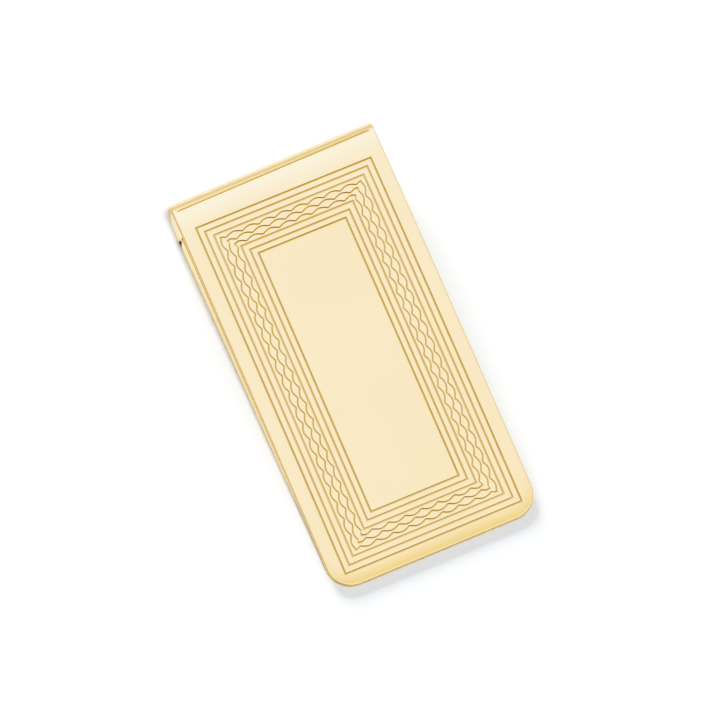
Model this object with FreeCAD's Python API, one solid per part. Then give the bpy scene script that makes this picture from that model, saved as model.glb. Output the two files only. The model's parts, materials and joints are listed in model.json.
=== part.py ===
import FreeCAD, Part

import math
import os

# Money clip: a front plate whose upper end is folded down into a hinge
# housing, and a flanged back lever that swings on a pin inside it. A leaf
# spring under the plate bears on a squared tang and keeps the lever shut.
#
# Everything is in millimetres. The pieces are drawn in the plate's own frame:
# x across, y along the plate towards the hinge, and h, the depth below the
# plane that touches the middle of the crowned top face. They are then laid on
# their back on z = 0, hinge end at +Y, with the origin under the middle of
# the closed clip's bounding box.

Vector = FreeCAD.Vector

# ---- front plate -------------------------------------------------------------
plate_width = 25.4
free_end_y = -23.3          # from the middle of the engraved field
fold_y = 25.75
plate_sheet = 0.9
crown_radius = 700.0        # the plate is slightly arched along its length
free_corner_radius = 3.0
fold_bend_radius = 1.2
rim_round = 0.25

wall_bottom_h = 2.6         # depth at which the end wall starts to curl under
curl_radius = 3.2
lip_h = 4.5                 # depth at which the curled wall ends

# ---- hinge -------------------------------------------------------------------
pin_y = 23.35
pin_h = 6.4
pin_radius = 0.6
pin_chamfer = 0.08
pin_running_gap = 0.04
lobe_radius = 1.2           # of the cheek and the tang, round the pin
cheek_sheet = 0.8
slit_gap = 0.3              # between cheek and lever flange
side_gap = 0.3              # between cheek and tang
tang_flat = 1.0             # height of the tang's flat above the pin's axis
tang_heel = 1.1             # reach of the tang's square corner behind the pin

# ---- back lever --------------------------------------------------------------
lever_sheet = 0.7
flat_end_y = -7.0           # the lever's floor is flat up to here
nip_y = -14.3               # line where the lever grips against the plate
tip_y = -17.0
tip_flare = 0.25            # how far the tip turns away from the plate
nip_gap = 0.08
mouth_gap = 0.8             # from flange to plate, beside the hinge
tip_corner_radius = 2.4
lever_edge_radius = 0.5

# ---- leaf spring and its studs -----------------------------------------------
spring_width = 12.0
spring_sheet = 0.45
spring_seat_start_y = -1.5
spring_seat_end_y = 5.5
spring_drop_end_y = 21.2
spring_end_y = 24.1
spring_gap = 0.02
spring_bend_radius = 2.0
spring_corner_radius = 1.5

stud_radius = 0.8
stud_hole_radius = 0.84
stud_head_radius = 1.35
stud_head_height = 0.5
stud_head_round = 0.3
stud_x = 3.2
stud_y = 2.0
stud_seat_depth = 0.3

half_width = plate_width / 2.0
inner_half_width = half_width - lever_sheet
tang_half_width = half_width - cheek_sheet - side_gap
flange_rear_y = pin_y - lobe_radius - slit_gap
pin = (pin_y, pin_h)
clearance = 10.0            # cutting tools reach this far past the metal
hair = 0.01                 # two measures closer than this are taken as equal


# ---- levels in the plate's frame ---------------------------------------------
def crown(y):
    """Depth of the arched top face."""
    return y * y / (2.0 * crown_radius)


def underside(y):
    """Depth of the plate's lower face."""
    return crown(y) + plate_sheet


def find_rest_angle():
    """Angle between plate and table. The table touches the lower edge of the
    plate's free end and the lobes round the pin."""
    angle = 0.0
    for _ in range(20):
        drop = pin_h + lobe_radius / math.cos(angle) - underside(free_end_y)
        angle = math.atan(drop / (pin_y - free_end_y))
    return angle


rest_angle = find_rest_angle()
stud_top_h = underside(stud_y) - stud_seat_depth


def table(y, height=0.0):
    """Depth of a line that runs at the given height above the table."""
    flat = underside(free_end_y) + (y - free_end_y) * math.tan(rest_angle)
    return flat - height / math.cos(rest_angle)


# ---- outline helpers ---------------------------------------------------------
def point(y, h, x=0.0):
    return Vector(x, y, -h)


def line(start, end):
    return Part.makeLine(start, end)


def arc(start, middle, end):
    return Part.Arc(start, middle, end).toShape()


def on_circle(centre, radius, degrees):
    """Point of a circle in side view: 0 degrees faces the hinge end and
    90 degrees faces down."""
    turn = math.radians(degrees)
    return point(centre[0] + radius * math.cos(turn), centre[1] + radius * math.sin(turn))


def circle_arc(centre, radius, start, end):
    return arc(on_circle(centre, radius, start),
               on_circle(centre, radius, (start + end) / 2.0),
               on_circle(centre, radius, end))


def curve(start, start_slope, end, end_slope):
    """Cubic from one point to the next with the given slopes, dh over dy."""
    third = (end.y - start.y) / 3.0
    bezier = Part.BezierCurve()
    bezier.setPoles([start,
                     start + Vector(0, third, -third * start_slope),
                     end - Vector(0, third, -third * end_slope),
                     end])
    return bezier.toShape()


def across(edges, x_from, x_to):
    """Solid between two widths from a closed side outline."""
    face = Part.Face(Part.Wire(Part.__sortEdges__(edges)))
    face.translate(Vector(x_from, 0, 0))
    return face.extrude(Vector(x_to - x_from, 0, 0))


def polygon(points):
    return [line(a, b) for a, b in zip(points, points[1:] + points[:1])]


def cross_bar(radius, half_length):
    """Round bar about the hinge axis."""
    return Part.makeCylinder(radius, 2 * half_length, point(pin_y, pin_h, -half_length),
                             Vector(1, 0, 0))


def mirrored(shape):
    return shape.mirror(Vector(0, 0, 0), Vector(1, 0, 0))


def near(a, b):
    return abs(a - b) < hair


def rounded_plan(y_low, y_high, half, low_radius, high_radius=0.0):
    """Upright prism whose plan is a rectangle with rounded corners. A radius
    of 0 leaves that end square."""
    prism = Part.makeBox(2 * half, y_high - y_low, 2 * clearance,
                         Vector(-half, y_low, -clearance))
    for y, radius in ((y_low, low_radius), (y_high, high_radius)):
        corners = [edge for edge in prism.Edges
                   if edge.BoundBox.ZLength > clearance and near(edge.BoundBox.Center.y, y)]
        if radius > 0.0:
            prism = prism.makeFillet(radius, corners)
    return prism


def rim_edges(shape, up):
    """Edges round the faces that look up (or down): those that belong to only
    one such face."""
    faces = []
    for face in shape.Faces:
        u_low, u_high, v_low, v_high = face.ParameterRange
        normal = face.normalAt((u_low + u_high) / 2.0, (v_low + v_high) / 2.0)
        if normal.z * up > 0.95:
            faces.append(face)
    edges = [edge for face in faces for edge in face.Edges]
    return [edge for edge in edges if sum(edge.isSame(other) for other in edges) == 1]


# ---- hinge housing -----------------------------------------------------------
curl_centre = (fold_y - curl_radius, wall_bottom_h)
bend_start_y = fold_y - fold_bend_radius
bend_centre = (bend_start_y, crown(bend_start_y) + fold_bend_radius)
bend_start_angle = math.degrees(bend_start_y / crown_radius) - 90.0


def find_back_angle():
    """Direction faced by the straight stretch that touches curl and lobe."""
    dy = pin[0] - curl_centre[0]
    dh = pin[1] - curl_centre[1]
    lean = math.acos((curl_radius - lobe_radius) / math.hypot(dy, dh))
    return math.degrees(math.atan2(dh, dy) - lean)


back_angle = find_back_angle()


def end_wall(inset):
    """Edges of the bend, the end wall and the curl, inset from the outside."""
    return [circle_arc(bend_centre, fold_bend_radius - inset, bend_start_angle, 0.0),
            line(point(fold_y - inset, bend_centre[1]), point(fold_y - inset, wall_bottom_h)),
            circle_arc(curl_centre, curl_radius - inset, 0.0, back_angle)]


def lip_point(inset):
    """Where the straight stretch after the curl reaches the lip."""
    start = on_circle(curl_centre, curl_radius - inset, back_angle)
    drop = lip_h + start.z
    return point(start.y - drop * math.tan(math.radians(back_angle)), lip_h)


def make_sheet():
    """The plate and its folded end as one bent strip."""
    free_top = point(free_end_y, crown(free_end_y))
    free_low = point(free_end_y, underside(free_end_y))
    bend_top = on_circle(bend_centre, fold_bend_radius, bend_start_angle)
    bend_low = on_circle(bend_centre, fold_bend_radius - plate_sheet, bend_start_angle)
    curl_outer = on_circle(curl_centre, curl_radius, back_angle)
    curl_inner = on_circle(curl_centre, curl_radius - plate_sheet, back_angle)
    outline = [arc(free_top, point(0, 0), bend_top), *end_wall(0.0),
               line(curl_outer, lip_point(0.0)), line(lip_point(0.0), lip_point(plate_sheet)),
               line(lip_point(plate_sheet), curl_inner), *end_wall(plate_sheet),
               arc(bend_low, point(0, plate_sheet), free_low), line(free_low, free_top)]
    return across(outline, -half_width, half_width)


def make_cheek():
    """Side wall of the housing, with a lobe round the pin."""
    front_y = pin_y - lobe_radius
    bend_top = on_circle(bend_centre, fold_bend_radius, bend_start_angle)
    lobe_end = on_circle(pin, lobe_radius, back_angle)
    front_top = point(front_y, crown(front_y) + plate_sheet / 2.0)
    front_low = point(front_y, pin_h)
    lobe_middle = on_circle(pin, lobe_radius, (180.0 + back_angle) / 2.0)
    outline = [line(front_top, front_low), arc(front_low, lobe_middle, lobe_end),
               line(lobe_end, on_circle(curl_centre, curl_radius, back_angle)),
               *end_wall(0.0), line(bend_top, front_top)]
    return across(outline, half_width - cheek_sheet, half_width)


def stud_shaft(side, radius, top_h, bottom_h):
    return Part.makeCylinder(radius, bottom_h - top_h, point(stud_y, top_h, side * stud_x),
                             Vector(0, 0, -1))


def outer_edges(plate):
    """Edges round the top face and, in one run with them, round the outside
    of the hinge housing."""
    found = []
    for edge in plate.Edges:
        middle = edge.valueAt((edge.FirstParameter + edge.LastParameter) / 2.0)
        beside = all(near(abs(vertex.X), half_width) for vertex in edge.Vertexes)
        on_top = -middle.z < crown(middle.y) + 5 * hair
        if on_top and (beside or middle.y < free_end_y + free_corner_radius):
            found.append(edge)
        elif beside and middle.y > pin_y - pin_radius and len(edge.Vertexes) == 2:
            found.append(edge)
    return found


def make_front_plate():
    cheek = make_cheek()
    plate = make_sheet().fuse([cheek, mirrored(cheek)]).removeSplitter()
    plate = plate.common(rounded_plan(free_end_y, fold_y + clearance, half_width,
                                      free_corner_radius))
    plate = plate.makeFillet(rim_round, outer_edges(plate))
    plate = plate.cut(cross_bar(pin_radius, half_width + clearance))
    for side in (-1, 1):
        plate = plate.cut(stud_shaft(side, stud_radius, stud_top_h, stud_top_h + 2 * stud_seat_depth))
    return plate


# ---- hinge pin and tang ------------------------------------------------------
def make_hinge_pin():
    rod = cross_bar(pin_radius, half_width)
    ends = [edge for edge in rod.Edges if len(edge.Vertexes) == 1]
    return rod.makeChamfer(pin_chamfer, ends)


def make_hinge_tang():
    """Drilled bar along the lever's rear edge. The spring bears on its flat
    top, and its square rear corner lifts the spring as the lever opens."""
    corner = Part.makeBox(2 * tang_half_width, tang_heel, tang_flat,
                          point(pin_y, pin_h, -tang_half_width))
    above = Part.makeBox(2 * tang_half_width, 4 * lobe_radius, lobe_radius,
                         point(pin_y - 2 * lobe_radius, pin_h - tang_flat, -tang_half_width))
    bar = cross_bar(lobe_radius, tang_half_width).fuse(corner).cut(above)
    return bar.cut(cross_bar(pin_radius + pin_running_gap, half_width)).removeSplitter()


# ---- back lever --------------------------------------------------------------
def lever_line(height):
    """Side line of the lever's sheet at a height within it: flat on the
    table, rising to the nip, then flaring. Returns its three edges and its
    end points at the hinge and the tip."""
    rear_y = pin_y - lobe_radius / 2.0
    rear = point(rear_y, table(rear_y, height))
    flat = point(flat_end_y, table(flat_end_y, height))
    below_plate = nip_gap + lever_sheet - height
    nip = point(nip_y, underside(nip_y) + below_plate)
    tip = point(tip_y, underside(tip_y) + below_plate + tip_flare)
    nip_slope = nip_y / crown_radius
    tip_slope = -2.0 * tip_flare / (nip_y - tip_y)
    to_nip = curve(flat, math.tan(rest_angle), nip, nip_slope)
    to_tip = curve(nip, nip_slope, tip, tip_slope)
    return line(rear, flat), to_nip, to_tip, rear, tip


def make_back_lever():
    """Channel with a flat floor, two flanges that close on the plate, a
    flared tip and a narrower tongue that reaches the tang."""
    low_flat, low_rise, low_tip, low_rear, low_end = lever_line(0.0)
    up_flat, up_rise, up_tip, up_rear, up_end = lever_line(lever_sheet)
    floor_low = point(flange_rear_y, table(flange_rear_y))
    flange_top = point(flange_rear_y, underside(flange_rear_y) + mouth_gap)
    middle_y = (nip_y + flange_rear_y) / 2.0
    flange_middle = point(middle_y, underside(middle_y) + (nip_gap + mouth_gap) / 2.0)
    up_nip = up_tip.Vertexes[0].Point
    block = across([line(floor_low, low_flat.Vertexes[1].Point), low_rise, low_tip,
                    line(low_end, up_end), up_tip, arc(up_nip, flange_middle, flange_top),
                    line(flange_top, floor_low)], -half_width, half_width)
    block = block.common(rounded_plan(tip_y, fold_y, half_width, tip_corner_radius))
    rim = [edge for edge in rim_edges(block, -1)
           if edge.BoundBox.YMin < flange_rear_y - lever_edge_radius]
    block = block.makeFillet(lever_edge_radius, rim)

    above = Vector(0, 0, clearance)
    hollow = across([up_rise, up_flat, line(up_rear, up_rear + above),
                     line(up_rear + above, up_nip + above), line(up_nip + above, up_nip)],
                    -inner_half_width, inner_half_width)
    tongue = across([low_flat, line(low_rear, up_rear), up_flat,
                     line(up_flat.Vertexes[1].Point, low_flat.Vertexes[1].Point)],
                    -tang_half_width, tang_half_width)
    lever = block.cut(hollow).fuse(tongue).cut(cross_bar(lobe_radius, half_width + clearance))
    return lever.removeSplitter()


# ---- leaf spring and studs ---------------------------------------------------
def make_leaf_spring():
    """Strip that lies under the plate, slopes down and ends flat on the tang."""
    rest_h = pin_h - tang_flat - spring_gap
    top = [point(spring_seat_start_y, underside(spring_seat_end_y) + spring_gap),
           point(spring_seat_end_y, underside(spring_seat_end_y) + spring_gap),
           point(spring_drop_end_y, rest_h - spring_sheet),
           point(spring_end_y, rest_h - spring_sheet)]
    slope = math.atan2(top[1].z - top[2].z, top[2].y - top[1].y)
    mitre = spring_sheet * math.tan(slope / 2.0)
    down = Vector(0, 0, -spring_sheet)
    low = [top[0] + down, top[1] + down - Vector(0, mitre, 0),
           top[2] + down - Vector(0, mitre, 0), top[3] + down]
    strip = across(polygon(top + low[::-1]), -spring_width / 2.0, spring_width / 2.0)
    outside_radius = spring_bend_radius + spring_sheet
    bends = ((top[1], outside_radius), (low[1], spring_bend_radius),
             (top[2], spring_bend_radius), (low[2], outside_radius))
    for corner, radius in bends:
        edge = [edge for edge in strip.Edges
                if all(near(v.Y, corner.y) and near(v.Z, corner.z) for v in edge.Vertexes)]
        strip = strip.makeFillet(radius, edge)
    strip = strip.common(rounded_plan(spring_seat_start_y, spring_end_y, spring_width / 2.0,
                                      spring_corner_radius, spring_corner_radius))
    for side in (-1, 1):
        strip = strip.cut(stud_shaft(side, stud_hole_radius, 0.0, pin_h))
    return strip


def make_spring_studs():
    """Two posts seated in the plate, their heads spread over the spring."""
    studs = []
    head_top = underside(spring_seat_end_y) + 2 * spring_gap + spring_sheet
    head_low = head_top + stud_head_height
    for side in (-1, 1):
        head = stud_shaft(side, stud_head_radius, head_top, head_low)
        rim = [edge for edge in head.Edges
               if len(edge.Vertexes) == 1 and near(edge.Vertexes[0].Z, -head_low)]
        head = head.makeFillet(stud_head_round, rim)
        stud = stud_shaft(side, stud_radius, stud_top_h, head_low - stud_head_round).fuse(head)
        studs.extend(stud.removeSplitter().Solids)
    return Part.makeCompound(studs)


# ---- build -------------------------------------------------------------------
def main():
    pieces = {
        "front_plate": make_front_plate(),
        "back_lever": make_back_lever(),
        "hinge_tang": make_hinge_tang(),
        "hinge_pin": make_hinge_pin(),
        "leaf_spring": make_leaf_spring(),
        "spring_studs": make_spring_studs(),
    }
    lift = table(0.0) * math.cos(rest_angle)
    for shape in pieces.values():
        shape.rotate(Vector(0, 0, 0), Vector(1, 0, 0), math.degrees(rest_angle))
        shape.translate(Vector(0, 0, lift))
    box = Part.makeCompound(list(pieces.values())).optimalBoundingBox(False, False)
    os.makedirs("parts", exist_ok=True)
    for name, shape in pieces.items():
        shape.translate(Vector(0, -box.Center.y, 0))
        shape.exportStep("parts/" + name + ".step")
        print(name, shape.isValid(), len(shape.Solids), "solids, volume %.2f" % shape.Volume)
    pin_point = FreeCAD.Rotation(Vector(1, 0, 0), math.degrees(rest_angle)).multVec(point(*pin))
    print("size", box.XLength, box.YLength, box.ZLength, "low z", box.ZMin)
    print("rest angle %.3f" % math.degrees(rest_angle))
    print("pin axis y %.4f z %.4f" % (pin_point.y - box.Center.y, pin_point.z + lift))


main()
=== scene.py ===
import json
import math

import bmesh
import bpy
import numpy as np
from mathutils import Matrix, Vector
from mathutils.geometry import delaunay_2d_cdt, tessellate_polygon


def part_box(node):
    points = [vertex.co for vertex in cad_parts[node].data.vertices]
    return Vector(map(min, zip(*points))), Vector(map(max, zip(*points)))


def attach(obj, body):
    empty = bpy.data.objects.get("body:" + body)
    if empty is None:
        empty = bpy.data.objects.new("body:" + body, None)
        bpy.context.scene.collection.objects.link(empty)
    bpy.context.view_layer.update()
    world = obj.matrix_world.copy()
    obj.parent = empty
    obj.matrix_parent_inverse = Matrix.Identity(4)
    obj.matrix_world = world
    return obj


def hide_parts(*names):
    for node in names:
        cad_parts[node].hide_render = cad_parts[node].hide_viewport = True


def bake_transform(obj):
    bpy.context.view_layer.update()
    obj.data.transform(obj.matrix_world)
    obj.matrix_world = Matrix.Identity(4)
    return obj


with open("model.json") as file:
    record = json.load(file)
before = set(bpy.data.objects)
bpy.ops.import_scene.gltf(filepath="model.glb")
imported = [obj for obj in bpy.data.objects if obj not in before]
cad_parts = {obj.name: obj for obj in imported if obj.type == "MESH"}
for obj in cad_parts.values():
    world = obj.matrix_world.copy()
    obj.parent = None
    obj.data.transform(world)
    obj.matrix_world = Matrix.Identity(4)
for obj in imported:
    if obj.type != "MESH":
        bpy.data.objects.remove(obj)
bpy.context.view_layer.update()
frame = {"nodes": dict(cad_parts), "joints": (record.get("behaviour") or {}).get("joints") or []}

# A hinged money clip. The shapes are drawn in millimetres in the plate's own
# frame, as the CAD model is: x across, y along the plate towards the hinge and
# h, the depth below the middle of the crowned top face. A point is (x, y, -h).
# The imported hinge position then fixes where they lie.

# ---- dimensions shared with the CAD model, in millimetres ---------------------
MM = 0.001
half_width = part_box("front_plate")[1].x / MM
free_end_y = -23.3
fold_y = 25.75
plate_sheet = 0.9
crown_radius = 700.0
free_corner_radius = 3.0
wall_bottom_h = 2.6
curl_radius = 3.2
lip_h = 4.5
bend_radius = 1.2
pin_y = 23.35
pin_h = 6.4
pin_radius = 0.6
lobe_radius = 1.2
cheek_sheet = 0.8
tang_flat = 1.0
spring_width = 12.0
spring_sheet = 0.45
spring_seat_start_y = -1.5
spring_seat_end_y = 5.5
spring_drop_end_y = 21.2
spring_end_y = 24.1
spring_gap = 0.02
slit_gap = 0.3
lever_sheet = 0.7
flat_end_y = -7.0
nip_y = -14.3
tip_y = -17.0
tip_flare = 0.25
nip_gap = 0.08
mouth_gap = 0.8
tip_corner_radius = 2.4
lever_edge_radius = 0.5
tongue_half_width = 11.6
tongue_end_y = 22.75

# ---- finer shapes that only the looks need ------------------------------------
rim_radius = 0.17
inner_chamfer = 0.06
hinge_roll_y = 21.9         # the plate dips a little from here to the bend
hinge_roll = 0.012
end_roll_width = 1.55       # the polished roll along the free end
end_roll = 0.13
end_roll_start = 1.5        # it starts this far above the corners' centres
end_roll_fade = 3.5         # and is whole after this length
end_reach = 0.12            # the worn free end stands this much farther out
fold_slant = 0.012          # the fold isn't quite square to the sides
fold_slant_run = 2.5        # length over which the slant sets in
crease_width = 0.20
crease_depth = 0.05
crease_inset = 0.48
crease_end = 0.25           # length over which each end of the crease runs out
crease_slant = 0.008
crease_slant_run = 0.3
slit_wear = 0.36            # the slit is this much wider than the CAD's, as if worn
slit_step = 0.52            # but the cheek reaches this far into it above
slit_step_h = (3.9, 4.6)    # depths between which it widens
curb = 0.03                 # what is left of the lever's flange beyond the nip

# The engraving: six straight frames, counted from the outside, and three
# scalloped lines in the band between the third frame and the fourth.
line_half_widths = (10.9, 10.13, 9.35, 6.96, 6.19, 5.44)
line_half_lengths = (21.76, 20.99, 20.21, 17.83, 17.05, 16.31)
line_cut = 0.24
line_depth = 0.072
wave_insets = (0.58, 1.21, 1.85)
wave_swing = 0.35
wave_short_period = 2.035
wave_long_period = 1.985
wave_cut = 0.18
wave_depth = 0.06
wave_end = 0.55             # length over which a wave dies out at the mitre
samples_short = 144         # along a short side of each engraved frame
samples_long = 320

# How strongly each line is cut and toned.
line_strengths = (1.0, 0.75, 0.62, 0.66, 0.80, 1.0)
side_strengths = (0.95, 1.0, 0.62, 0.90)       # fold, right, free end, left
wave_strengths = (1.1, 0.72, 0.85, 0.80)
groove_profile = ((-0.5, 0.0), (-0.27, 0.66), (0.0, 1.0), (0.27, 0.66), (0.5, 0.0))

# Tones: 0 is polished gold, full_tone is amber (the cut lines' own tone, elsewhere painted shade), and
# above the threshold below it darkens to the painted shade in the slit.
full_tone = 0.75
groove_share = 0.78
# painted shade: the crease's tone stands in for the dark reflection at the bend's start
crease_shade_share = 0.9
edge_and_shade_share = 0.66           # sheared edges; the tone also paints the shade they mirror from the table at the outline
# painted shade on the hidden inner faces
inside_shade_share = 0.6
seam_shade_share = 0.3            # edges that are half hidden, given painted shade
# the slit's painted shade starts above this tone
slit_shade_from = 1.0
slit_shade_share = 1.6

settle_rounds = 20          # enough for the two angles that are found by iteration


def crown(y):
    return y * y / (2.0 * crown_radius)


def find_rest_angle():
    """Tilt of the plate when the clip lies on its lobes and its free end."""
    angle = 0.0
    for _ in range(settle_rounds):
        drop = pin_h + lobe_radius / math.cos(angle) - crown(free_end_y) - plate_sheet
        angle = math.atan(drop / (pin_y - free_end_y))
    return angle


rest_angle = find_rest_angle()
hinge = Vector(frame["joints"][0]["pos_m"]) / MM
lay_down = Matrix.Rotation(rest_angle, 4, "X")
lay_down = Matrix.Translation(hinge - lay_down @ Vector((0, pin_y, -pin_h))) @ lay_down
to_object = np.array(Matrix.Scale(MM, 4) @ lay_down)


# ---- mesh helpers --------------------------------------------------------------
class Patches:
    """Collects patches of faces, which are welded into one mesh at the end."""

    def __init__(self):
        self.points = []
        self.faces = []
        self.values = []
        self.count = 0

    def add(self, points, faces, value=0.0):
        points = np.asarray(points, float).reshape(-1, 3)
        self.faces.extend([tuple(int(i) + self.count for i in face) for face in faces])
        self.points.append(points)
        self.values.append(np.broadcast_to(np.ravel(value), len(points)))
        self.count += len(points)

    def grid(self, rows, value=0.0, closed=False):
        """rows is an array of rows x columns x 3, value its tone or one for each point."""
        rows = np.asarray(rows, float)
        n_rows, n_columns = rows.shape[:2]
        index = np.arange(n_rows * n_columns).reshape(n_rows, n_columns)
        if closed:
            index = np.concatenate([index, index[:, :1]], axis=1)
        faces = np.stack([index[:-1, :-1], index[:-1, 1:], index[1:, 1:], index[1:, :-1]], axis=-1)
        self.add(rows.reshape(-1, 3), faces.reshape(-1, 4), value)

    def build(self, name, sharp_degrees=24.0, weld=0.0015):
        """One object from all patches, its tones (cut lines and painted shade) in the attribute "cut"."""
        points = np.concatenate(self.points)
        points = points @ to_object[:3, :3].T + to_object[:3, 3]
        mesh = bpy.data.meshes.new(name)
        mesh.from_pydata(points.tolist(), [], self.faces)
        tone = mesh.attributes.new("cut", "FLOAT", "POINT")
        tone.data.foreach_set("value", np.concatenate(self.values).astype(np.float32))
        shape = bmesh.new()
        shape.from_mesh(mesh)
        bmesh.ops.remove_doubles(shape, verts=shape.verts, dist=weld * MM)
        bmesh.ops.dissolve_degenerate(shape, edges=shape.edges, dist=weld * MM * 0.1)
        bmesh.ops.recalc_face_normals(shape, faces=shape.faces)
        limit = math.radians(sharp_degrees)
        for face in shape.faces:
            face.smooth = True
        for edge in shape.edges:
            edge.smooth = not edge.is_manifold or edge.calc_face_angle(0.0) < limit
        shape.to_mesh(mesh)
        shape.free()
        piece = bpy.data.objects.new(name, mesh)
        bpy.context.scene.collection.objects.link(piece)
        return piece


def smooth_step(t):
    t = np.clip(t, 0.0, 1.0)
    return t * t * (3.0 - 2.0 * t)


def standing(x, side_view):
    """The points (y, h) of a side view, placed at x."""
    return np.column_stack([np.broadcast_to(x, len(side_view)), side_view[:, 0], -side_view[:, 1]])


def crosswise(y, section):
    """The points (x, h) of a section across the clip, placed at y."""
    return np.column_stack([section[:, 0], np.full(len(section), y), -section[:, 1]])


def polygon(points):
    return [Vector(point) for point in np.asarray(points).tolist()]


def arc_points(centre, radius, start, end, count):
    turn = np.linspace(start, end, count)
    return np.stack([centre[0] + radius * np.cos(turn), centre[1] + radius * np.sin(turn)], axis=-1)


# ---- the sheet's run from the free end over the fold to the lip -----------------
def hinge_dip(y):
    return hinge_roll * np.maximum(y - hinge_roll_y, 0.0) ** 2


def find_bend():
    """Start of the bend, the tilt there and the centre of its arc."""
    tilt = 0.0
    for _ in range(settle_rounds):
        start = fold_y - bend_radius * (1.0 - math.sin(tilt))
        tilt = math.atan(start / crown_radius + 2.0 * hinge_roll * (start - hinge_roll_y))
    start_h = crown(start) + float(hinge_dip(start))
    centre = (start - bend_radius * math.sin(tilt), start_h + bend_radius * math.cos(tilt))
    return start, tilt, centre


bend_start, bend_tilt, bend_centre = find_bend()
curl_centre = (fold_y - curl_radius, wall_bottom_h)


def find_back_angle():
    """Angle at which the curl turns into the straight towards the lobe."""
    dy = pin_y - curl_centre[0]
    dh = pin_h - curl_centre[1]
    lean = math.acos((curl_radius - lobe_radius) / math.hypot(dy, dh))
    return math.atan2(dh, dy) - lean


back_angle = find_back_angle()
bend_length = bend_radius * (math.pi / 2.0 - bend_tilt)
wall_length = wall_bottom_h - bend_centre[1]
curl_length = curl_radius * back_angle
curl_end_h = curl_centre[1] + curl_radius * math.sin(back_angle)
back_length = (lip_h - curl_end_h) / math.cos(back_angle)
wall_start = bend_start + bend_length
curl_start = wall_start + wall_length
back_start = curl_start + curl_length
lip_s = back_start + back_length


def spine(s):
    """Outer surface of the bent sheet in side view, at distance s along it:
    y, h and the outward direction. On the plate itself s is y."""
    s = np.asarray(s, float)
    bend = bend_tilt - math.pi / 2.0 + (np.clip(s, bend_start, wall_start) - bend_start) / bend_radius
    curl = (np.clip(s, curl_start, back_start) - curl_start) / curl_radius
    slope = s / crown_radius + 2.0 * hinge_roll * np.maximum(s - hinge_roll_y, 0.0)
    down = np.clip(s, wall_start, curl_start) - wall_start
    along = np.maximum(s - back_start, 0.0)
    on_plate, on_bend, on_wall = s <= bend_start, s <= wall_start, s <= curl_start
    y = np.select([on_plate, on_bend, on_wall],
                  [s, bend_centre[0] + bend_radius * np.cos(bend), np.full_like(s, fold_y)],
                  curl_centre[0] + curl_radius * np.cos(curl) - along * math.sin(back_angle))
    h = np.select([on_plate, on_bend, on_wall],
                  [crown(s) + hinge_dip(s), bend_centre[1] + bend_radius * np.sin(bend),
                   bend_centre[1] + down],
                  curl_centre[1] + curl_radius * np.sin(curl) + along * math.cos(back_angle))
    turn = np.select([on_plate, on_bend], [np.arctan(slope) - math.pi / 2.0, bend], curl)
    return y, h, np.cos(turn), np.sin(turn)


def on_sheet(x, s, depth):
    """Points at a depth below the sheet's outer surface."""
    x, s, depth = np.broadcast_arrays(*(np.asarray(part, float) for part in (x, s, depth)))
    y, h, out_y, out_h = spine(s)
    skew = fold_slant * x * smooth_step((s - hinge_roll_y) / fold_slant_run)
    return np.stack([x, y + skew - depth * out_y, -(h - depth * out_h)], axis=-1)


core_half_width = half_width - free_corner_radius
core_low = free_end_y - end_reach + free_corner_radius


def edge_direction(x, s):
    """Way out of the sheet, across its plan, and distance from its edge."""
    dx = x - np.clip(x, -core_half_width, core_half_width)
    ds = np.minimum(s - core_low, 0.0)
    reach = np.maximum(np.hypot(dx, ds), 1e-9)
    return dx / reach, ds / reach, free_corner_radius - reach


def end_drop(x, s):
    """The roll-off along the free end, fading out round its corners."""
    _, _, inside = edge_direction(x, s)
    fade = smooth_step((core_low + end_roll_start - s) / end_roll_fade)
    return end_roll * np.maximum(1.0 - np.maximum(inside, 0.0) / end_roll_width, 0.0) ** 2 * fade


# ---- engraving -------------------------------------------------------------------
def spread(count):
    """Evenly from -1 to 1."""
    return np.linspace(-1.0, 1.0, count + 1)


def frame_ring(half_x, half_y):
    """Points round a rectangle: fold side, right, free end and left, corners
    shared, with fixed numbers of points on each side."""
    short = spread(samples_short)
    long = spread(samples_long)
    return [np.stack([short * half_x, np.full_like(short, half_y)], axis=-1),
            np.stack([np.full_like(long, half_x), -long * half_y], axis=-1),
            np.stack([-short * half_x, np.full_like(short, -half_y)], axis=-1),
            np.stack([np.full_like(long, -half_x), long * half_y], axis=-1)]


def wave(distance, period, reach, start):
    """Scallops: round humps outward and narrow valleys inward, dying out
    towards the mitre so that adjoining sides meet there."""
    valley_round, hump_base, hump_middle = 0.012, 0.06, 0.55
    phase = math.pi * (distance / period + start)
    hump = np.sqrt(np.sin(phase) ** 2 + valley_round)
    swing = wave_swing * (hump_middle - (hump - hump_base))
    fade = smooth_step((reach - np.abs(distance)) / wave_end)
    slope = wave_swing * math.pi / period * np.cos(phase) * np.sin(phase) / hump
    return swing * fade, np.sqrt(1.0 + (slope * fade) ** 2)


def wave_ring(inset, start, shift):
    """Ring beside a scalloped line, shifted inward from its middle."""
    mitre_fade = 0.3
    sides = []
    for half_reach, half_side, period, count in (
            (line_half_widths[2], line_half_lengths[2], wave_short_period, samples_short),
            (line_half_lengths[2], line_half_widths[2], wave_long_period, samples_long)):
        reach = half_reach - inset - shift
        along = spread(count) * reach
        swing, stretch = wave(along, period, reach, start)
        fade = smooth_step((reach - np.abs(along)) / mitre_fade)
        across = half_side - inset - swing - shift * (1.0 + (stretch - 1.0) * fade)
        sides.append((along, across))
    (short, short_across), (long, long_across) = sides
    return [np.stack([short, short_across], axis=-1), np.stack([long_across, -long], axis=-1),
            np.stack([-short, -short_across], axis=-1), np.stack([-long_across, long], axis=-1)]


def joined(sides):
    """Four sides as one closed ring, without their shared corners."""
    return np.concatenate([side[:-1] for side in sides])


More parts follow.
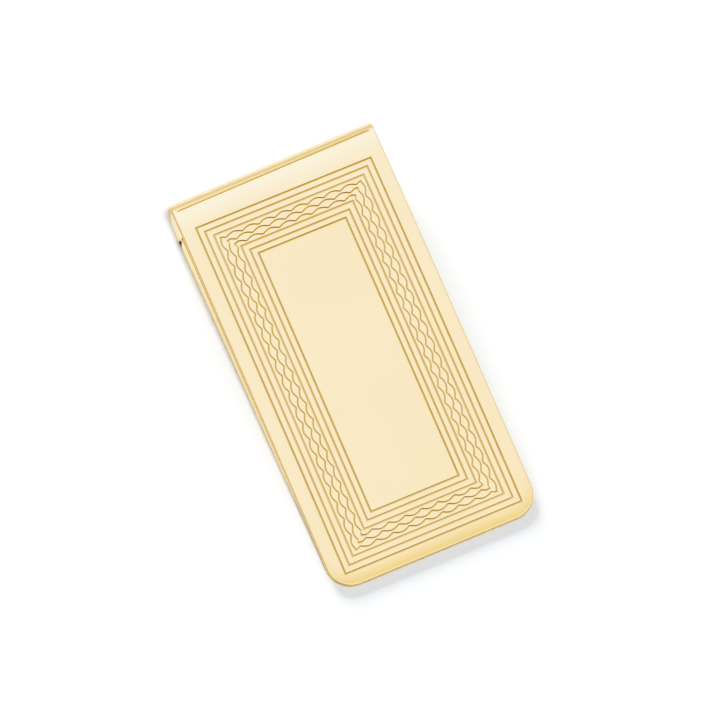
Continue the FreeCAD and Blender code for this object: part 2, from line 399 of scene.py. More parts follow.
def round_the_ring(strengths):
    """One value for each side, repeated for every point of a ring."""
    return np.repeat(strengths, (samples_short, samples_long, samples_short, samples_long))


def groove(ring_at, depth, strength):
    """Rings across one cut, with their depths and tones. A weak cut is shallower."""
    return [(joined(ring_at(at)), share * depth * (0.5 + 0.5 * strength), share * groove_share * strength)
            for at, share in groove_profile]


def straight_groove(k):
    def ring_at(at):
        return frame_ring(line_half_widths[k] - at * line_cut, line_half_lengths[k] - at * line_cut)
    return groove(ring_at, line_depth, line_strengths[k] * round_the_ring(side_strengths))


def wavy_groove(k):
    def ring_at(at):
        return wave_ring(wave_insets[k], 0.5 * (k % 2), at * wave_cut)
    return groove(ring_at, wave_depth, round_the_ring(wave_strengths))


# ---- front plate -------------------------------------------------------------------
patch_top = 24.1            # the engraved patch ends here, before the bend


def resample(path, count):
    """Points at even distances along a path."""
    path = np.asarray(path)
    steps = np.concatenate([[0.0], np.cumsum(np.linalg.norm(np.diff(path, axis=0), axis=1))])
    at = np.linspace(0.0, steps[-1], count + 1)
    return np.stack([np.interp(at, steps, path[:, 0]), np.interp(at, steps, path[:, 1])], axis=-1)


def outline_ring():
    """Ring just inside the rim, with the same numbers of points as the frames."""
    inner_x = half_width - rim_radius
    radius = free_corner_radius - rim_radius
    turn = np.linspace(0.0, math.pi / 4.0, 60)
    right = [(inner_x, patch_top)]
    right += [(core_half_width + radius * math.cos(a), core_low - radius * math.sin(a)) for a in turn]
    low_half = [(core_half_width + radius * math.sin(a), core_low - radius * math.cos(a))
                for a in turn[::-1]]
    low = low_half + [(-x, y) for x, y in low_half[::-1]]
    left = [(-x, y) for x, y in right[::-1]]
    top = np.stack([spread(samples_short) * inner_x, np.full(samples_short + 1, patch_top)], axis=-1)
    return [top, resample(right, samples_long), resample(low, samples_short), resample(left, samples_long)]


def plain_panel(sheet):
    """The panel inside the last frame, on a grid coarser than the rings."""
    coarser = 4
    border = 0.35
    edge_x = line_half_widths[5] - 0.5 * line_cut
    edge_y = line_half_lengths[5] - 0.5 * line_cut
    outer = frame_ring(edge_x, edge_y)
    inner = [side[::coarser] for side in frame_ring(edge_x - border, edge_y - border)]
    for fine, coarse in zip(outer, inner):
        points = np.concatenate([fine, coarse])
        n_fine = len(fine)
        faces = [[n_fine + i, n_fine + i + 1] + [coarser * (i + 1) - j for j in range(coarser + 1)]
                 for i in range(len(coarse) - 1)]
        sheet.add(on_sheet(points[:, 0], points[:, 1], 0.0), faces)
    grid_x, grid_y = np.meshgrid(inner[0][:, 0], inner[3][:, 1])
    sheet.grid(on_sheet(grid_x, grid_y, 0.0))


def engraved_top(sheet):
    """Rings from the outline through all grooves to the plain panel."""
    margin_rings = 14
    outline = outline_ring()
    first = joined(outline)
    start = joined(frame_ring(line_half_widths[0] + 0.5 * line_cut, line_half_lengths[0] + 0.5 * line_cut))
    steps = np.linspace(0.0, 1.0, margin_rings + 1)[:-1]
    rings = [(first + (start - first) * (t * (2.0 - t)), 0.0, 0.0) for t in steps]
    for k in (0, 1, 2):
        rings += straight_groove(k)
    for k in (0, 1, 2):
        rings += wavy_groove(k)
    for k in (3, 4, 5):
        rings += straight_groove(k)
    xy = np.array([ring for ring, _, _ in rings])
    depth = np.array([np.broadcast_to(depth, len(first)) for _, depth, _ in rings])
    share = np.array([np.broadcast_to(share, len(first)) for _, _, share in rings])
    x, s = xy[..., 0], xy[..., 1]
    sheet.grid(on_sheet(x, s, depth + end_drop(x, s)), share, closed=True)
    plain_panel(sheet)
    return outline


def crease(x, s):
    """Fine scored line along the start of the bend."""
    reach = smooth_step((half_width - crease_inset - np.abs(x)) / crease_end)
    return crease_depth * np.maximum(1.0 - np.abs(s - bend_start) / (0.5 * crease_width), 0.0) * reach


def fold_rows():
    """Where the rows of points lie from the engraved patch to the lip."""
    crease_rows = bend_start + crease_width * np.array([-0.9, -0.5, -0.25, 0.0, 0.25, 0.5, 0.9])
    return np.concatenate([[patch_top, patch_top + 0.2], crease_rows,
                           np.linspace(bend_start + 0.25, wall_start, 22),
                           np.linspace(wall_start, curl_start, 5)[1:],
                           np.linspace(curl_start, back_start, 22)[1:],
                           np.linspace(back_start, lip_s, 4)[1:]])


def folded_end(sheet, xs, rows):
    """The outer face from the engraved patch over the crease and the fold."""
    grid_x, grid_s = np.meshgrid(xs, rows)
    cut = crease(grid_x, grid_s)
    lean = crease_slant * grid_x * smooth_step(1.0 - np.abs(grid_s - bend_start) / crease_slant_run)
    inward = smooth_step((half_width - crease_inset + 0.1 - np.abs(grid_x)) / crease_slant_run)
    # the tone along the crease is painted shade for the bend's dark reflection
    sheet.grid(on_sheet(grid_x, grid_s + lean * inward, cut), crease_shade_share * cut / crease_depth)


def edge_path(outline, rows):
    """Path round the sheet's edge, from the lip's left corner to its right one."""
    inner_x = half_width - rim_radius
    _, right, low, left = (side[::-1] for side in outline)
    return np.concatenate([np.stack([np.full(len(rows) - 1, -inner_x), rows[:0:-1]], axis=-1),
                           left[:-1], low[:-1], right[:-1],
                           np.stack([np.full(len(rows), inner_x), rows], axis=-1)])


def sheet_edge(sheet, path):
    """Rim, sheared edge and inner chamfer, as rings that follow the path."""
    x, s = path[:, 0], path[:, 1]
    out_x, out_s, _ = edge_direction(x, s)
    drop = end_drop(x, s)
    profile = [(rim_radius * math.sin(a), drop * (1.0 - a / math.pi) + rim_radius * (1.0 - math.cos(a)))
               for a in np.linspace(0.0, math.pi / 2.0, 9)]
    profile += [(rim_radius, 0.5 * plate_sheet), (rim_radius, plate_sheet - inner_chamfer),
                (rim_radius - inner_chamfer, plate_sheet)]
    rings = np.array([on_sheet(x + out_x * reach, s + out_s * reach, depth) for reach, depth in profile])
    # polished over the rim's upper half; below, the sheared edge's tone, which also paints the shade
    # mirrored from the table at the contact
    edge_and_shade_tone = edge_and_shade_share * np.array([0.0] * 5 + [0.3, 0.65, 0.9, 1.0, 1.0, 1.0, 0.8])
    sheet.grid(rings, np.repeat(edge_and_shade_tone, len(path)))
    return rings


def inside_face(sheet, path, rows):
    """The inside, triangulated in the sheet's unrolled plan. Returns the x of
    its points along the lip."""
    out_x, out_s, _ = edge_direction(path[:, 0], path[:, 1])
    loop = path + (rim_radius - inner_chamfer) * np.stack([out_x, out_s], axis=-1)
    lip_xs = np.linspace(loop[-1, 0], loop[0, 0], 14)[1:-1]
    loop = np.concatenate([loop, np.stack([lip_xs, np.full(len(lip_xs), lip_s)], axis=-1)])
    fill_rows = np.concatenate([np.arange(free_end_y + 4.0, patch_top, 2.0), rows[3::3][:-1]])
    fill = [(fill_x, fill_s) for fill_s in fill_rows for fill_x in np.linspace(-11.5, 11.5, 13)]
    found, _, triangles = delaunay_2d_cdt(polygon(loop.tolist() + fill), [], [list(range(len(loop)))],
                                          1, 1e-6)[:3]
    found = np.array([tuple(point) for point in found])
    # the inside is given painted shade
    sheet.add(on_sheet(found[:, 0], found[:, 1], plate_sheet), triangles, inside_shade_share)
    return lip_xs


def lip_face(sheet, rings, xs, lip_xs):
    """The lip's narrow end: rims, sides and both edges, as one flat polygon."""
    top = on_sheet(xs[1:-1], np.full(len(xs) - 2, lip_s), 0.0)
    below = on_sheet(lip_xs, np.full(len(lip_xs), lip_s), plate_sheet)
    cap = np.concatenate([rings[:, 0][::-1], top, rings[:, -1], below])
    sheet.add(cap, [list(range(len(cap)))])


def make_sheet():
    sheet = Patches()
    outline = engraved_top(sheet)
    rows = fold_rows()
    xs = outline[0][:, 0]
    folded_end(sheet, xs, rows)
    path = edge_path(outline, rows)
    rings = sheet_edge(sheet, path)
    lip_xs = inside_face(sheet, path, rows)
    lip_face(sheet, rings, xs, lip_xs)
    return sheet


def inset_loop(loop, amounts):
    """A closed side outline moved inward by an amount at each point."""
    before = np.roll(loop, 1, axis=0)
    after = np.roll(loop, -1, axis=0)
    first = (loop - before) / np.linalg.norm(loop - before, axis=1)[:, None]
    second = (after - loop) / np.linalg.norm(after - loop, axis=1)[:, None]
    normal_a = np.stack([-first[:, 1], first[:, 0]], axis=-1)
    normal_b = np.stack([-second[:, 1], second[:, 0]], axis=-1)
    sharpest = 0.5              # keeps the mitre short at a sharp corner
    mean = normal_a + normal_b
    mean /= np.maximum((mean * normal_a).sum(axis=1), sharpest)[:, None]
    return loop + mean * np.asarray(amounts)[:, None]


def signed_area(loop):
    x, y = loop[:, 0], loop[:, 1]
    return 0.5 * float(np.sum(x * np.roll(y, -1) - y * np.roll(x, -1)))


def plate_slab(patches, loop, rounding, tone, x_outer, x_inner, bore_centre, bore_radius):
    """Flat drilled plate standing across x, with rounded edges on its outer face."""
    inner_rounding = 0.05
    if signed_area(loop) < 0:
        loop = loop[::-1]
        rounding = rounding[::-1]
        tone = tone[::-1]
    side = 1.0 if x_outer > x_inner else -1.0
    rings = []
    turns = np.linspace(0.0, math.pi / 2.0, 6)[::-1]
    for a in turns:
        ring = inset_loop(loop, rounding * (1.0 - math.cos(a)))
        rings.append(standing(x_outer - side * rounding * (1.0 - math.sin(a)), ring))
    rings.append(standing(x_inner + side * inner_rounding, loop))
    rings.append(standing(x_inner, inset_loop(loop, np.full(len(loop), inner_rounding))))
    # the given tones, painted shade, grow over each rounding towards the side
    shares = np.concatenate([np.linspace(0.0, 1.0, len(turns)), [1.0, 0.5]])
    patches.grid(np.array(rings), np.outer(shares, tone), closed=True)

    circle = arc_points(bore_centre, bore_radius, 0.0, 2.0 * math.pi, 49)[:-1]
    bore = [standing(x, circle) for x in (x_outer, x_inner)]
    patches.grid(np.array(bore), closed=True)
    for face, rim, share in ((rings[0], bore[0], 0.0), (rings[-1], bore[1], 0.5)):
        triangles = tessellate_polygon([polygon(face), polygon(rim)])
        patches.add(np.concatenate([face, rim]), triangles, share)


def cheek_outline():
    """The cheek in side view, with the rounding and the tone of each point."""
    sheet_overlap = 0.3         # how deep the cheek reaches into the folded sheet
    hidden_rounding, free_rounding, slit_rounding = 0.04, 0.2, 0.07
    lobe_in_slit = 8            # so many points of the lobe look into the slit
    front_y = pin_y - lobe_radius
    step_y = front_y - slit_step
    back = []
    for s in np.concatenate([np.linspace(bend_start, wall_start, 12),
                             np.linspace(curl_start, back_start, 10), [lip_s]]):
        y, h, out_y, out_h = (float(v) for v in spine(s))
        back.append((y - sheet_overlap * out_y, h - sheet_overlap * out_h))
    back.append((y, h))
    lobe = arc_points((pin_y, pin_h), lobe_radius, back_angle, math.pi, 26)
    front = [(front_y, 5.6), (front_y, slit_step_h[1]), (step_y, slit_step_h[0]), (step_y, 3.2)]
    corner = (step_y, crown(front_y) + 0.5 * plate_sheet)
    loop = np.concatenate([[corner], back, lobe, front])
    rounding = np.full(len(loop), free_rounding)
    rounding[:len(back)] = hidden_rounding
    rounding[-lobe_in_slit - len(front):] = slit_rounding
    # painted shade on the cheek's edges, lighter at the seam with the sheet, dark in the slit
    tone = np.full(len(loop), edge_and_shade_share)
    tone[0] = seam_shade_share
    tone[-lobe_in_slit - len(front):-2] = slit_shade_share
    return loop, rounding, tone


def make_front_plate():
    side_gap = 0.003            # keeps the cheeks' faces off the sheet's edges
    bore_gap = 0.012
    sheet = make_sheet()
    loop, rounding, tone = cheek_outline()
    for side in (-1.0, 1.0):
        plate_slab(sheet, loop, rounding, tone, side * (half_width - side_gap),
                   side * (half_width - cheek_sheet), (pin_y, pin_h), pin_radius + bore_gap)
    return sheet.build("front_plate_engraved")


# ---- leaf spring --------------------------------------------------------------------
def underside(y):
    return crown(y) + plate_sheet


def make_spring():
    """Strip under the plate whose far end follows the tang."""
    edge_round = 0.12
    corner = 1.5
    smoothing = 13              # samples over which the strip's bends are rounded
    rest_h = pin_h - tang_flat - spring_gap - spring_sheet
    seat_h = underside(spring_seat_end_y) + spring_gap
    ys = np.linspace(spring_seat_start_y, spring_end_y, 120)
    hs = np.interp(ys, [spring_seat_end_y, spring_drop_end_y], [seat_h, rest_h])
    kernel = np.hanning(smoothing)
    kernel /= kernel.sum()
    hs = np.convolve(np.pad(hs, smoothing // 2, mode="edge"), kernel, mode="valid")
    half = spring_width / 2.0
    section = []
    for x_sign, h_base, start in ((-1, 0.0, 180), (1, 0.0, 270), (1, 1.0, 0), (-1, 1.0, 90)):
        centre = (x_sign * (half - edge_round), h_base * (spring_sheet - 2 * edge_round) + edge_round)
        section.extend(arc_points(centre, edge_round, math.radians(start), math.radians(start + 90), 5))
    section = np.array(section)
    rows = []
    for y, h in zip(ys, hs):
        from_end = min(y - ys[0], ys[-1] - y)
        tuck = corner - math.sqrt(max(corner ** 2 - (corner - min(from_end, corner)) ** 2, 0.0))
        rows.append(crosswise(y, section * ((half - tuck) / half, 1.0) + (0.0, h)))
    spring = Patches()
    spring.grid(np.array(rows), closed=True)
    for row in (rows[0], rows[-1]):
        spring.add(row, [list(range(len(row)))])
    return spring.build("leaf_spring_strip", sharp_degrees=40.0)


# ---- back lever ---------------------------------------------------------------------
def table(y, height):
    """Depth of a point that lies at a height above the table."""
    return (y * math.sin(rest_angle) + (to_object[2, 3] / MM - height)) / math.cos(rest_angle)


def hermite(y, start, end):
    """Cubic through two points with given slopes, each (y, h, slope)."""
    span = end[0] - start[0]
    t = (y - start[0]) / span
    return ((1 + 2 * t) * (1 - t) ** 2 * start[1] + t * (1 - t) ** 2 * span * start[2]
            + t * t * (3 - 2 * t) * end[1] - t * t * (1 - t) * span * end[2])


def lever_depth(y, height):
    """Side line of the lever's floor: on the table, up to the nip, then flared."""
    flat = (flat_end_y, table(flat_end_y, height), math.tan(rest_angle))
    nip = (nip_y, underside(nip_y) + nip_gap + lever_sheet - height, nip_y / crown_radius)
    tip = (tip_y, underside(tip_y) + nip_gap + lever_sheet - height + tip_flare,
           -2.0 * tip_flare / (nip_y - tip_y))
    if y >= flat_end_y:
        return table(y, height)
    return hermite(y, nip, flat) if y >= nip_y else hermite(y, tip, nip)


def fitting(radius, width):
    """The radius, or less where it wouldn't fit twice into the width."""
    return min(radius, 0.48 * width)


def lever_section(y):
    """Right half of the channel's section, from the floor's inner face out over
    the flange to the floor's outer face, with the tone of each point: painted
    shade on the inner faces, the edges and a band at the side's foot."""
    inside_radius, crest_radius, brow_radius = 0.25, 0.05, 0.12
    foot_shade_from, foot_shade_to = 0.38, 0.12   # heights above the foot between which the painted shade of the outline sets in
    from_tip = y - tip_y
    low = lever_depth(y, 0.0)
    if from_tip < lever_edge_radius:
        low -= lever_edge_radius - math.sqrt(lever_edge_radius ** 2 - (lever_edge_radius - from_tip) ** 2)
    floor_h = lever_depth(y, lever_sheet)
    share = np.clip((y - nip_y) / (flange_rear_y - nip_y), 0.0, 1.0)
    top = floor_h - curb
    if y > nip_y:
        top = min(underside(y) + nip_gap + (mouth_gap - nip_gap) * share, top)
    half = half_width
    if from_tip < tip_corner_radius:
        half -= tip_corner_radius - math.sqrt(tip_corner_radius ** 2 - (tip_corner_radius - from_tip) ** 2)
    inner = half - lever_sheet
    inside = fitting(inside_radius, floor_h - top)
    crest = fitting(crest_radius, floor_h - top)
    brow = fitting(brow_radius, low - top)
    belly = min(lever_edge_radius, 0.85 * (low - top) - brow)
    quarter = np.radians(np.linspace(0.0, 90.0, 7))
    points = [(x, floor_h, inside_shade_share) for x in (0.0, 0.5 * inner)]
    points += [(inner - inside + inside * math.sin(a), floor_h - inside + inside * math.cos(a),
                inside_shade_share) for a in quarter]
    points += [(inner + crest - crest * math.cos(a), top + crest - crest * math.sin(a), edge_and_shade_share)
               for a in quarter]
    points += [(half - brow + brow * math.sin(a), top + brow - brow * math.cos(a),
                edge_and_shade_share * math.cos(a)) for a in quarter]
    foot = 0.3 * max(low - top - belly - brow, 0.0)
    points += [(half, low - belly - min(foot_shade_from, 2.0 * foot), 0.0),
               (half, low - belly - min(foot_shade_to, foot), edge_and_shade_share)]
    points += [(half - belly + belly * math.cos(a), low - belly + belly * math.sin(a),
                edge_and_shade_share * math.cos(a)) for a in quarter]
    points += [(x, low, 0.0) for x in (0.5 * inner, 0.0)]
    return np.array(points)


flange_rear_y = pin_y - lobe_radius - slit_gap - slit_wear


def along_curve(start, length, first_degrees, count):
    """Places along y that crowd towards the start of a rounded stretch."""
    turn = np.radians(np.linspace(first_degrees, 90.0, count))
    return start + length * (1.0 - np.cos(turn))


def add_tongue(lever):
    """The tongue of the floor that reaches the tang."""
    overlap = 0.4
    edge_round = 0.06
    skin = 0.2 * edge_round     # keeps it off the floor's own faces
    ends = []
    for y in (flange_rear_y - overlap, tongue_end_y):
        low, high = table(y, skin), table(y, lever_sheet - skin)
        outline = [(tongue_half_width - edge_round, high), (tongue_half_width, high + edge_round),
                   (tongue_half_width, low - edge_round), (tongue_half_width - edge_round, low)]
        outline += [(-x, h) for x, h in outline[::-1]]
        ends.append(crosswise(y, np.array(outline)))
    # painted shade over the half-hidden tongue
    lever.grid(np.array(ends), seam_shade_share, closed=True)
    for end in ends:
        lever.add(end, [list(range(len(end)))], seam_shade_share)


def make_lever():
    hair = 0.1                  # the tone changes over this length at the slit
    edge, corner = lever_edge_radius, tip_corner_radius
    ys = np.concatenate([along_curve(tip_y, edge, 0.0, 8),
                         along_curve(tip_y + edge, corner - edge, 12.0, 12),
                         np.linspace(nip_y, flat_end_y, 24),
                         np.linspace(flat_end_y, flange_rear_y - hair, 30)[1:], [flange_rear_y]])
    rows = []
    tones = []
    for y in ys:
        section = lever_section(float(y))
        ring = np.concatenate([section, (section * (-1, 1, 1))[-2:0:-1]])
        rows.append(crosswise(y, ring))
        tones.append(ring[:, 2])
    tip, rear = rows[0], rows[-1]
    upper_h = underside(flange_rear_y) + mouth_gap
    depth = (-rear[:, 2] - upper_h) / (table(flange_rear_y, 0.0) - upper_h)
    # painted shade on the flange's rear end: dark in the slit, lighter above
    tones[-1] = np.where(depth > 0.25, slit_shade_share, seam_shade_share)
    lever = Patches()
    lever.grid(np.array(rows), np.array(tones), closed=True)
    lever.add(tip, [list(range(len(tip)))])
    lever.add(rear, tessellate_polygon([polygon(rear)]), tones[-1])
    add_tongue(lever)
    return lever.build("back_lever_channel")


# ---- materials -----------------------------------------------------------------------
def new_material(name):
    material = bpy.data.materials.new(name)
    material.use_nodes = True
    tree = material.node_tree
    tree.nodes.clear()
    output = tree.nodes.new("ShaderNodeOutputMaterial")
    shader = tree.nodes.new("ShaderNodeBsdfPrincipled")
    tree.links.new(shader.outputs["BSDF"], output.inputs["Surface"])
    return material, tree, shader


def noise(tree, coordinates, scale, detail, stretch=(1.0, 1.0, 1.0)):
    mapping = tree.nodes.new("ShaderNodeMapping")
    mapping.inputs["Scale"].default_value = stretch
    tree.links.new(coordinates, mapping.inputs["Vector"])
    texture = tree.nodes.new("ShaderNodeTexNoise")
    texture.inputs["Scale"].default_value = scale
    texture.inputs["Detail"].default_value = detail
    tree.links.new(mapping.outputs["Vector"], texture.inputs["Vector"])
    return texture.outputs["Fac"]


def remap(tree, value, low, high, to_low, to_high):
    node = tree.nodes.new("ShaderNodeMapRange")
    node.inputs["From Min"].default_value = low
    node.inputs["From Max"].default_value = high
    node.inputs["To Min"].default_value = to_low
    node.inputs["To Max"].default_value = to_high
    tree.links.new(value, node.inputs["Value"])
    return node.outputs["Result"]


def mix_colour(tree, factor, first, second):
    node = tree.nodes.new("ShaderNodeMix")
    node.data_type = "RGBA"
    tree.links.new(factor, node.inputs["Factor"])
    for socket, value in ((node.inputs[6], first), (node.inputs[7], second)):
        if isinstance(value, tuple):
            socket.default_value = (*value, 1.0)
        else:
            tree.links.new(value, socket)
    return node.outputs[2]


def colour_ramp(tree, value, stops):
    node = tree.nodes.new("ShaderNodeValToRGB")
    tree.links.new(value, node.inputs["Fac"])
    ramp = node.color_ramp
    while len(ramp.elements) < len(stops):
        ramp.elements.new(0.5)
    for element, (position, colour) in zip(ramp.elements, stops):
        element.position = position
        element.color = (*colour, 1.0)
    return node.outputs["Color"]


def multiply(tree, first, second):
    node = tree.nodes.new("ShaderNodeMix")
    node.data_type = "RGBA"
    node.blend_type = "MULTIPLY"
    node.inputs["Factor"].default_value = 1.0
    tree.links.new(first, node.inputs[6])
    tree.links.new(second, node.inputs[7])
    return node.outputs[2]


def math_node(tree, operation, first, second):
    node = tree.nodes.new("ShaderNodeMath")
    node.operation = operation
    for socket, value in ((node.inputs[0], first), (node.inputs[1], second)):
        if isinstance(value, (int, float)):
            socket.default_value = value
        else:
            tree.links.new(value, socket)
    return node.outputs[0]


def metal(name, colour, deep, roughness, grain=(1.0, 1.0, 1.0), grain_scale=900.0,
          grain_strength=0.05, uses_cut_and_shade=False):
    """Polished or machined metal: slow tone changes, fine grain with a lay,
    small scuffs in the gloss and, from the "cut" tones, a deeper tone in cut
    lines and painted shade on edges, insides, seams, the crease and the slit."""
    material, tree, shader = new_material(name)
    where = tree.nodes.new("ShaderNodeTexCoord").outputs["Object"]
    tone = noise(tree, where, 90.0, detail=3.0)
    base = mix_colour(tree, remap(tree, tone, 0.3, 0.7, 0.0, 1.0), colour, deep)
    scuff = noise(tree, where, 420.0, detail=4.0, stretch=(1.0, 0.25, 1.0))
    gloss = remap(tree, scuff, 0.35, 0.75, roughness * 0.8, roughness * 1.35)
    if uses_cut_and_shade:
        cut = tree.nodes.new("ShaderNodeAttribute")
        cut.attribute_name = "cut"
        share = cut.outputs["Fac"]
        # the tones mix in amber for cut lines and painted shade, then the dark painted shade of the slit
        cut_and_shade_amount = remap(tree, share, 0.0, full_tone, 0.0, 1.0)
        in_slit = remap(tree, share, slit_shade_from, slit_shade_share, 0.0, 1.0)
        hue = remap(tree, noise(tree, where, 700.0, detail=1.0), 0.38, 0.62, 0.0, 1.0)
        deep_tone = mix_colour(tree, in_slit, mix_colour(tree, hue, amber, olive), slit_shade_colour)
        base = mix_colour(tree, cut_and_shade_amount, base, deep_tone)
        tint = mix_colour(tree, cut_and_shade_amount, pale_glance, mix_colour(tree, in_slit, amber_glance, slit_shade_colour))
        tree.links.new(tint, shader.inputs["Specular Tint"])
        gloss = math_node(tree, "ADD", gloss, math_node(tree, "MULTIPLY", share, 0.14))
    lines = noise(tree, where, grain_scale, detail=3.0, stretch=grain)
    bump = tree.nodes.new("ShaderNodeBump")
    bump.inputs["Strength"].default_value = grain_strength
    bump.inputs["Distance"].default_value = 0.00002
    tree.links.new(lines, bump.inputs["Height"])
    tree.links.new(base, shader.inputs["Base Color"])
    tree.links.new(gloss, shader.inputs["Roughness"])
    tree.links.new(bump.outputs["Normal"], shader.inputs["Normal"])
    shader.inputs["Metallic"].default_value = 1.0
    return material


pale_gold = (0.958, 0.828, 0.572)
pale_gold_deep = (0.945, 0.806, 0.540)
amber = (0.92, 0.58, 0.06)   # cut lines; also painted shade on sheared edges and the inside
olive = (0.91, 0.69, 0.075)
# painted shade: the dark colour of the slit between cheek and flange
slit_shade_colour = (0.10, 0.035, 0.012)
# the same metals seen at a glancing angle
pale_glance = (0.965, 0.905, 0.69)
amber_glance = (0.80, 0.55, 0.26)

plate_metal = metal("polished_gold_engraved", pale_gold, pale_gold_deep, 0.10, uses_cut_and_shade=True)
lever_metal = metal("polished_gold", pale_gold, pale_gold_deep, 0.13, uses_cut_and_shade=True)
brass = metal("machined_brass", (0.86, 0.68, 0.34), (0.78, 0.58, 0.26), 0.24,
              grain=(0.05, 1.0, 1.0), grain_scale=2500.0, grain_strength=0.3)
steel = metal("spring_steel", (0.56, 0.55, 0.54), (0.42, 0.41, 0.41), 0.3,
              grain=(1.0, 0.04, 1.0), grain_scale=3000.0, grain_strength=0.35)


def smooth_cad(node, material):
    """A CAD piece keeps its shape and gets a finish and soft shading."""
    mesh = frame["nodes"][node].data
    mesh.materials.clear()
    mesh.materials.append(material)
    shape = bmesh.new()
    shape.from_mesh(mesh)
    limit = math.radians(30.0)
    sharp = [not edge.is_manifold or edge.calc_face_angle(0.0) > limit for edge in shape.edges]
    shape.free()
    mesh.shade_smooth()
    mesh.attributes.new("sharp_edge", "BOOLEAN", "EDGE").data.foreach_set("value", sharp)


# ---- pieces ------------------------------------------------------------------------------
front = make_front_plate()
front.data.materials.append(plate_metal)
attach(front, "plate")
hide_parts("front_plate")

spring = make_spring()
spring.data.materials.append(steel)
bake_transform(spring)
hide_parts("leaf_spring")

lever = make_lever()
lever.data.materials.append(lever_metal)
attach(lever, "lever")
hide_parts("back_lever")

for node in ("hinge_tang", "hinge_pin", "spring_studs"):
    smooth_cad(node, brass)

# ---- floor, light and camera ---------------------------------------------------------------
def make_floor():
    """A sheet of white paper, far larger than the clip."""
    reach = 1.5
    mesh = bpy.data.meshes.new("floor")
    mesh.from_pydata([(-reach, -reach, 0), (reach, -reach, 0), (reach, reach, 0), (-reach, reach, 0)],
                     [], [(0, 1, 2, 3)])
    paper, _, shader = new_material("white_paper")
    shader.inputs["Base Color"].default_value = (0.9, 0.9, 0.9, 1.0)
    shader.inputs["Roughness"].default_value = 0.9
    shader.inputs["Specular IOR Level"].default_value = 0.0
    mesh.materials.append(paper)
    paper_sheet = bpy.data.objects.new("floor", mesh)
    bpy.context.scene.collection.objects.link(paper_sheet)
    return paper_sheet


floor = make_floor()


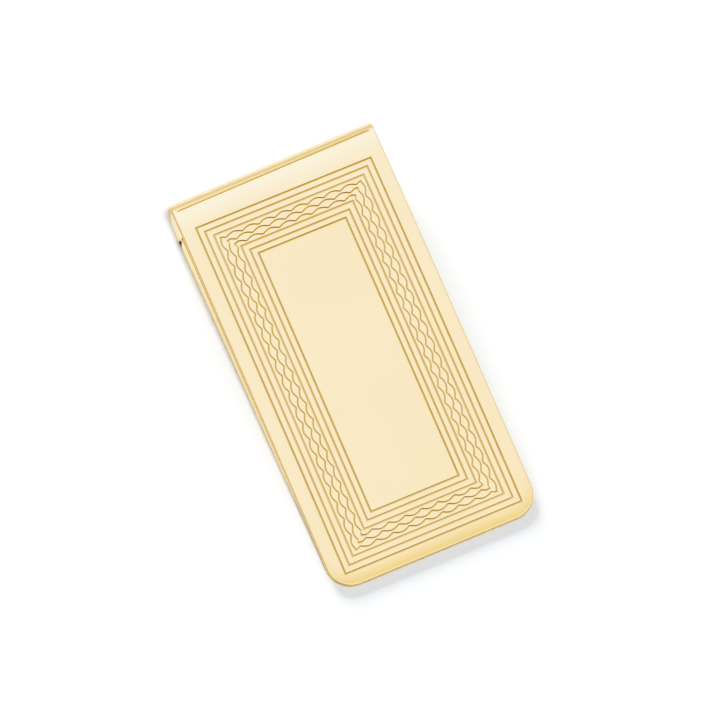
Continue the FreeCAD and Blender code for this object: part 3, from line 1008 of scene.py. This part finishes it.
def sky():
    """A light tent for the metal to mirror: white overhead, cooler towards the
    hinge, warm towards the free end and dim amber low down. The table gets an
    even dome of its own."""
    world = bpy.data.worlds.new("tent")
    bpy.context.scene.world = world
    world.use_nodes = True
    tree = world.node_tree
    tree.nodes.clear()
    output = tree.nodes.new("ShaderNodeOutputWorld")
    background = tree.nodes.new("ShaderNodeBackground")
    tree.links.new(background.outputs["Background"], output.inputs["Surface"])
    where = tree.nodes.new("ShaderNodeTexCoord").outputs["Generated"]
    parts = tree.nodes.new("ShaderNodeSeparateXYZ")
    tree.links.new(where, parts.inputs["Vector"])
    by_height = colour_ramp(tree, parts.outputs["Z"], (
        (0.0, (0.80, 0.76, 0.68)), (0.25, (0.68, 0.60, 0.42)), (0.55, (0.74, 0.66, 0.46)),
        (0.78, (0.92, 0.87, 0.76)), (0.93, (1.0, 1.0, 1.0))))
    along = remap(tree, parts.outputs["Y"], -1.0, 1.0, 0.0, 1.0)
    by_side = colour_ramp(tree, along, (
        (0.0, (0.40, 0.33, 0.18)), (0.22, (0.50, 0.42, 0.22)), (0.35, (0.62, 0.55, 0.30)),
        (0.485, (0.667, 0.667, 0.667)), (0.553, (0.667, 0.667, 0.667)), (0.64, (0.68, 0.747, 0.913)),
        (0.77, (0.667, 0.667, 0.60)), (0.90, (0.70, 0.70, 0.68)), (1.0, (0.85, 0.87, 0.95))))
    across = remap(tree, parts.outputs["X"], -1.0, 1.0, 0.0, 1.0)
    by_flank = colour_ramp(tree, across, (
        (0.0, (0.66, 0.56, 0.42)), (0.30, (0.80, 0.72, 0.58)), (0.42, (1.0, 1.0, 1.0))))
    facing = tree.nodes.new("ShaderNodeVectorMath")
    facing.operation = "DOT_PRODUCT"
    facing.inputs[1].default_value = (-0.37, -0.85, 0.37)   # in front, well below the camera
    tree.links.new(where, facing.inputs[0])
    below_camera = colour_ramp(tree, facing.outputs["Value"], (
        (0.80, (1.0, 1.0, 1.0)), (0.97, (0.50, 0.42, 0.30))))
    tent = multiply(tree, multiply(tree, by_height, by_side), multiply(tree, by_flank, below_camera))
    path = tree.nodes.new("ShaderNodeLightPath")
    on_table = math_node(tree, "GREATER_THAN", path.outputs["Diffuse Depth"], 0.5)
    seen = mix_colour(tree, on_table, tent, (0.091, 0.098, 0.112))
    tree.links.new(seen, background.inputs["Color"])
    background.inputs["Strength"].default_value = 1.5


sky()


def area_light(name, direction, distance, size, power, colour):
    data = bpy.data.lights.new(name, "AREA")
    data.shape = "SQUARE"
    data.size = size
    data.energy = power
    data.color = colour
    lamp = bpy.data.objects.new(name, data)
    way = Vector(direction).normalized()
    lamp.location = way * distance
    lamp.rotation_mode = "QUATERNION"
    lamp.rotation_quaternion = way.to_track_quat("Z", "Y")
    bpy.context.scene.collection.objects.link(lamp)
    return lamp


# lamps for the table only: one beside the camera and a low soft one behind
for lamp in (area_light("front", (-0.02, -0.24, 0.97), 0.60, 0.10, 2.36, (0.975, 0.99, 1.0)),
             area_light("back", (-0.04, 0.92, 0.38), 1.20, 0.52, 14.6, (1.0, 0.985, 0.96))):
    lamp.visible_glossy = False


def make_camera():
    """The photo's view: its angles and distance come from a fit to the plate's
    outline and its engraved frames."""
    azimuth = math.radians(23.45)
    elevation = math.radians(71.07)
    distance = 627.8 * MM
    aim = Vector((0.397, -0.982, 4.0)) * MM
    sight = Vector((math.sin(azimuth) * math.cos(elevation), math.cos(azimuth) * math.cos(elevation),
                    -math.sin(elevation)))
    data = bpy.data.cameras.new("camera")
    data.sensor_width = 36.0
    data.lens = 275.0
    data.clip_start = 0.01
    data.clip_end = 10.0
    viewer = bpy.data.objects.new("camera", data)
    viewer.location = aim - sight * distance
    viewer.rotation_mode = "QUATERNION"
    viewer.rotation_quaternion = sight.to_track_quat("-Z", "Y")
    bpy.context.scene.collection.objects.link(viewer)
    return viewer


camera = make_camera()
bpy.context.scene.camera = camera
bpy.context.scene.view_settings.view_transform = "Standard"
bpy.context.scene.view_settings.look = "None"
